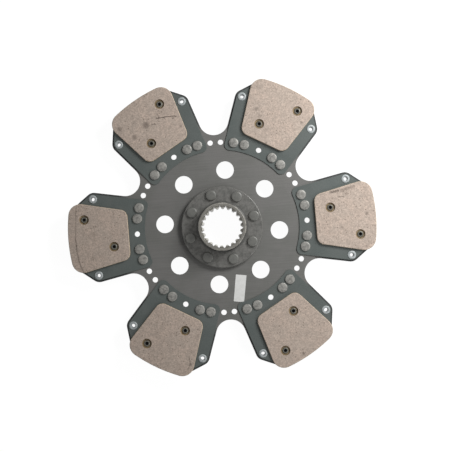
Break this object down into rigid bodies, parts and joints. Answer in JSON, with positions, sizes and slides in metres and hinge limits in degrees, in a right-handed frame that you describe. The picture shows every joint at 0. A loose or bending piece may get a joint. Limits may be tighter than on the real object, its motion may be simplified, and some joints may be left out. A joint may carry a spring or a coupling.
{
  "type": "clutch disc",
  "caption": "Undamped clutch disc: a stamped six-arm plate on a splined hub, with ceramic friction pads riveted to carrier plates on both faces.",
  "frame": {"origin": "on the disc's axis, at the hub's rear end face, on which it rests", "axes": "+Z along the disc's axis towards the front, where the hub's flange is; +X along the middle of arm 1"},
  "size_m": [0.35, 0.3288, 0.042],
  "materials": {
    "hub_steel": "dark phosphated forging, turned faces",
    "disc_steel": "matt grey phosphated sheet",
    "hub_rivet_steel": "dull raw steel",
    "plate_steel": "greenish grey phosphated spring sheet",
    "friction": "sintered granular ceramic-metal, matt",
    "rivet_steel": "hammered raw steel",
    "zinc": "bright zinc plating",
    "pad_rivet_steel": "dull copper-tinged steel"
  },
  "bodies": {
    "root": {"hub": "hub_steel", "main_disc": "disc_steel", "hub_rivets": "hub_rivet_steel", "front_plate_1": "plate_steel", "front_plate_2": "plate_steel", "front_plate_3": "plate_steel", "front_plate_4": "plate_steel", "front_plate_5": "plate_steel", "front_plate_6": "plate_steel", "back_plate_1": "plate_steel", "back_plate_2": "plate_steel", "back_plate_3": "plate_steel", "back_plate_4": "plate_steel", "back_plate_5": "plate_steel", "back_plate_6": "plate_steel", "front_pad_1": "friction", "front_pad_2": "friction", "front_pad_3": "friction", "front_pad_4": "friction", "front_pad_5": "friction", "front_pad_6": "friction", "back_pad_1": "friction", "back_pad_2": "friction", "back_pad_3": "friction", "back_pad_4": "friction", "back_pad_5": "friction", "back_pad_6": "friction", "root_rivets": "rivet_steel", "eyelets": "zinc", "pad_rivets": "pad_rivet_steel"}
  },
  "joints": []
}
